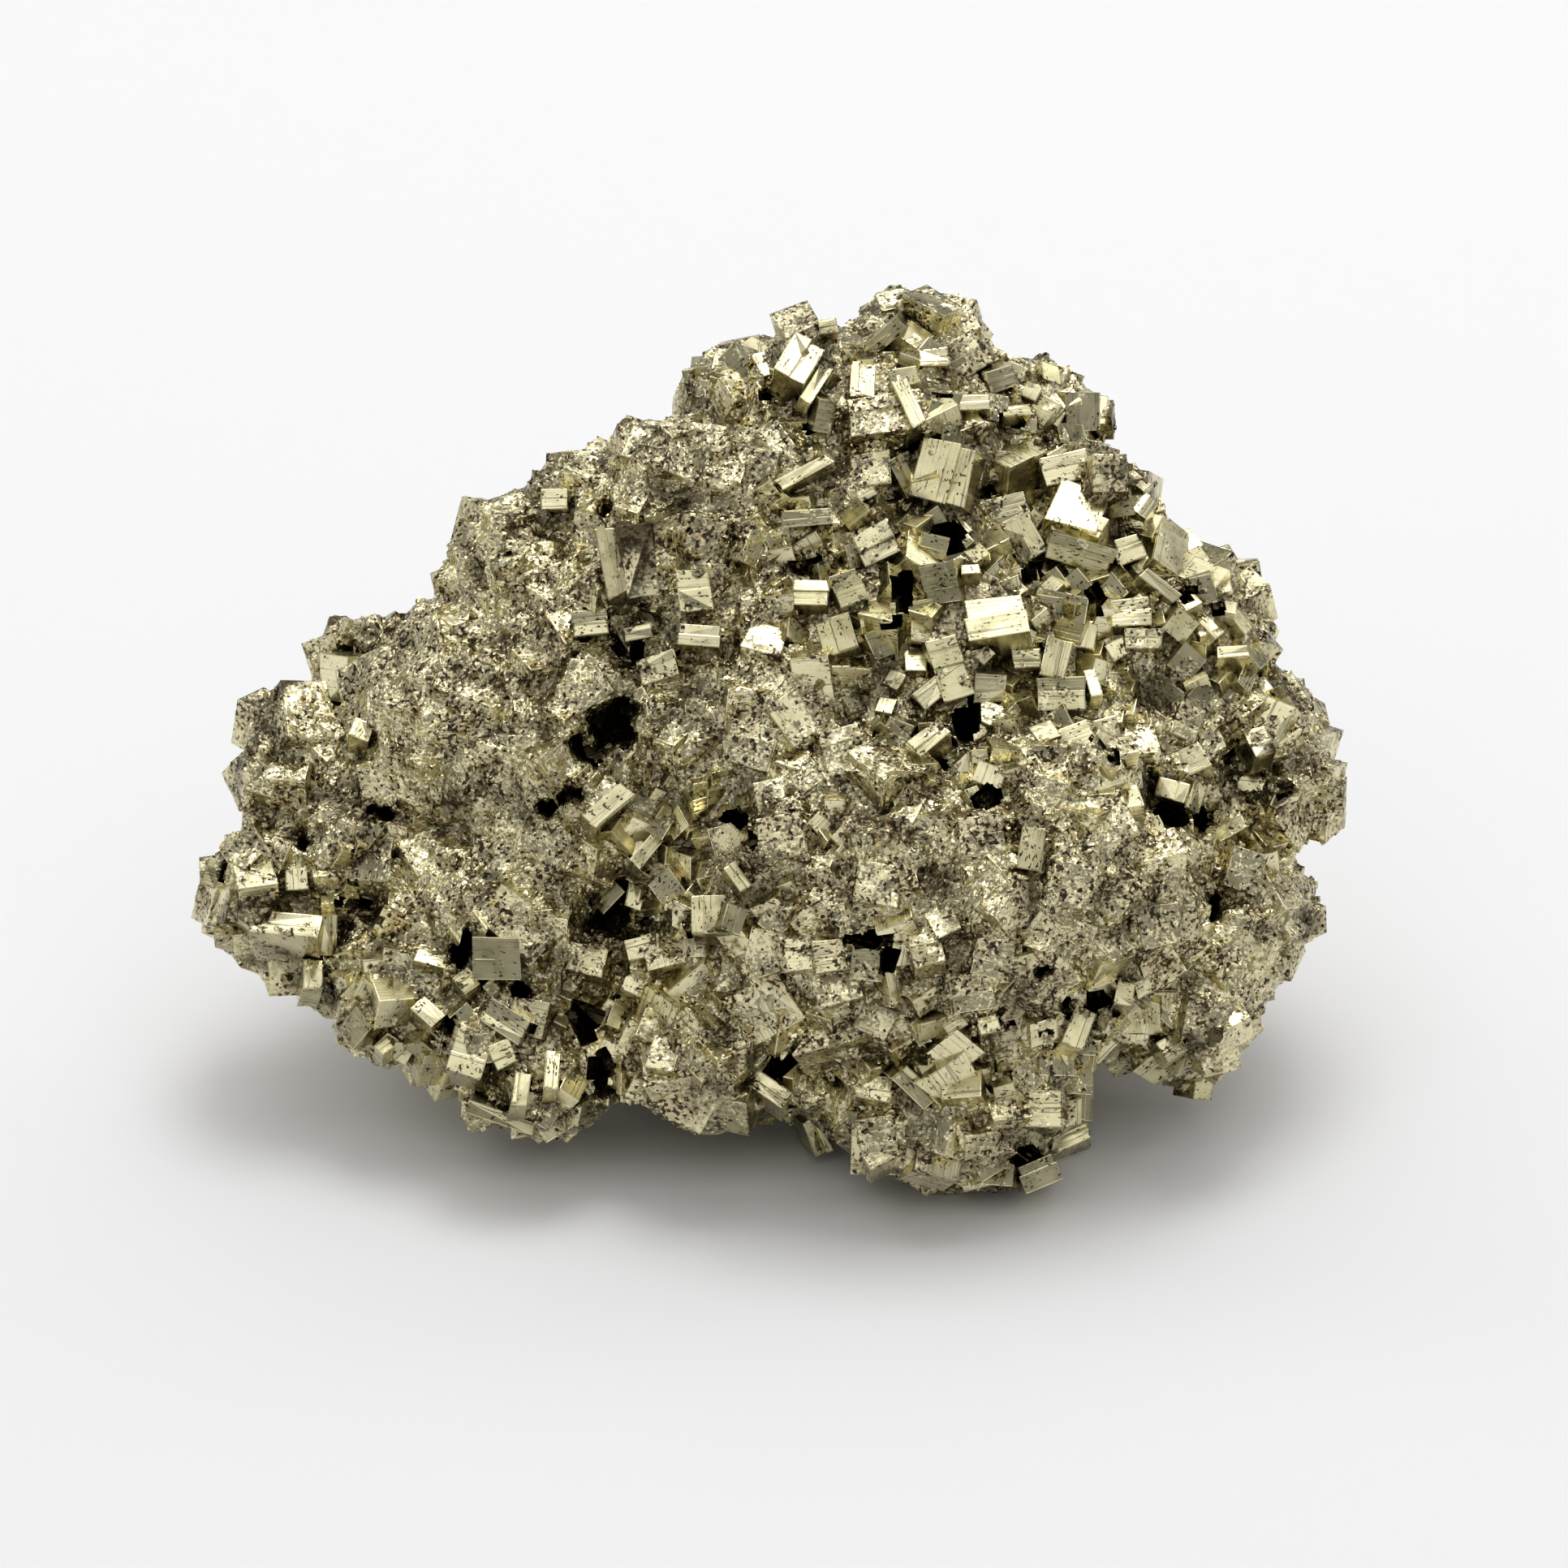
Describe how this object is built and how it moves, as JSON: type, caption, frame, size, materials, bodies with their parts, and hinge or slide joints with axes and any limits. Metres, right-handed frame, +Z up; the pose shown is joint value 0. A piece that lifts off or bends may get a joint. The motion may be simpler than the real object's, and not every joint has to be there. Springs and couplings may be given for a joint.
{
  "type": "pyrite specimen",
  "caption": "Intergrown cluster of pyrite cube crystals, a rounded lumpy mass with a granular crust in places, resting on small flat cuts under its feet.",
  "frame": {"origin": "under the middle of the specimen's bounding box, in the plane that it rests on", "axes": "+X along the specimen's length, to the right as pictured; +Y towards its back, away from the observer; +Z up"},
  "size_m": [0.0644, 0.0444, 0.0416],
  "materials": {
    "pyrite": "pale brass-coloured natural metal sulphide, bright striated cube faces beside dull granular crust"
  },
  "bodies": {
    "root": {"pyrite_cluster": "pyrite"}
  },
  "joints": []
}
